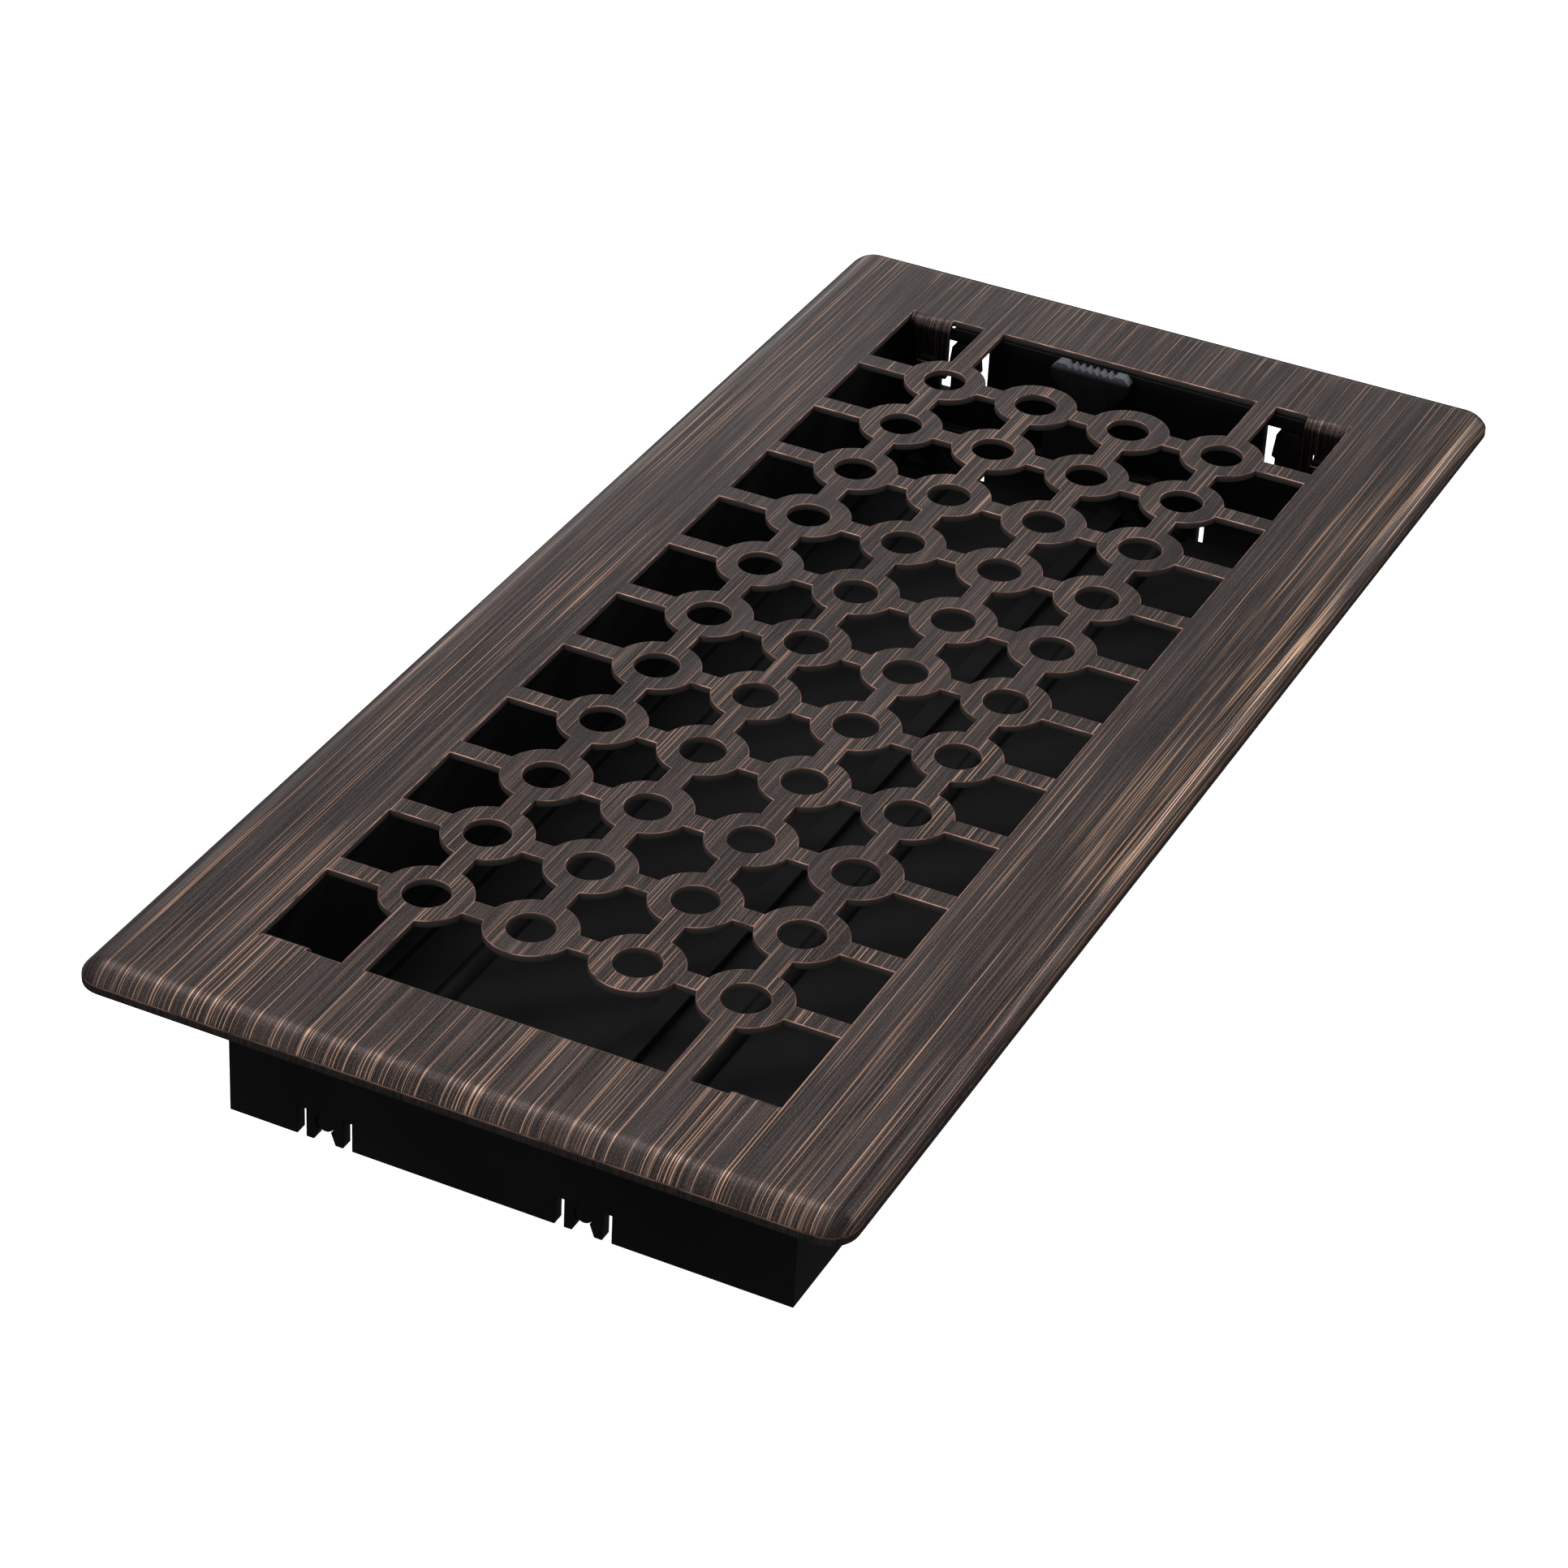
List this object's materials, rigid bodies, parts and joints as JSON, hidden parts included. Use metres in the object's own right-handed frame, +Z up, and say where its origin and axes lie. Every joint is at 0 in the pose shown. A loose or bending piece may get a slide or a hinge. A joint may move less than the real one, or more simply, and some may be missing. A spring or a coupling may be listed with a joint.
{
  "type": "louvred floor register",
  "caption": "Oblong floor vent: stamped metal face with a lattice of rings, over a plastic box with louvre blades turned by a thumb lever.",
  "frame": {"origin": "centre of the face's underside, level with the floor that the rim rests on", "axes": "+X along the length towards the thumb lever, +Y across the width, +Z up out of the floor"},
  "size_m": [0.2858, 0.1334, 0.0351],
  "materials": {
    "bronzed_steel": "dark oil-rubbed bronze, brushed lengthwise, with copper streaks",
    "box_plastic": "moulded, black",
    "blade_plastic": "moulded, fine satin grain, charcoal",
    "lever_plastic": "moulded, smooth, charcoal"
  },
  "bodies": {
    "register_body": {"face_plate": "bronzed_steel", "damper_box": "box_plastic"},
    "left_louvre": {"left_blade": "blade_plastic"},
    "right_louvre": {"right_blade": "blade_plastic"},
    "lever": {"thumb_lever": "lever_plastic"}
  },
  "joints": [
    {"name": "left_blade_pivot", "type": "hinge", "parent": "register_body", "child": "left_louvre", "pos_m": [0, 0.03275, -0.0273], "axis": [1, 0, 0], "range_deg": [0, 84]},
    {"name": "right_blade_pivot", "type": "hinge", "parent": "register_body", "child": "right_louvre", "pos_m": [0, -0.01383, -0.0273], "axis": [1, 0, 0], "range_deg": [0, 84]},
    {"name": "lever_on_crank", "type": "hinge", "parent": "left_louvre", "child": "lever", "pos_m": [0.119, 0.03917, -0.02017], "axis": [1, 0, 0], "range_deg": [-84, 0]}
  ],
  "couplings": [
    {"joint": "right_blade_pivot", "follows": "left_blade_pivot", "ratio": 1},
    {"joint": "lever_on_crank", "follows": "left_blade_pivot", "ratio": -1}
  ]
}
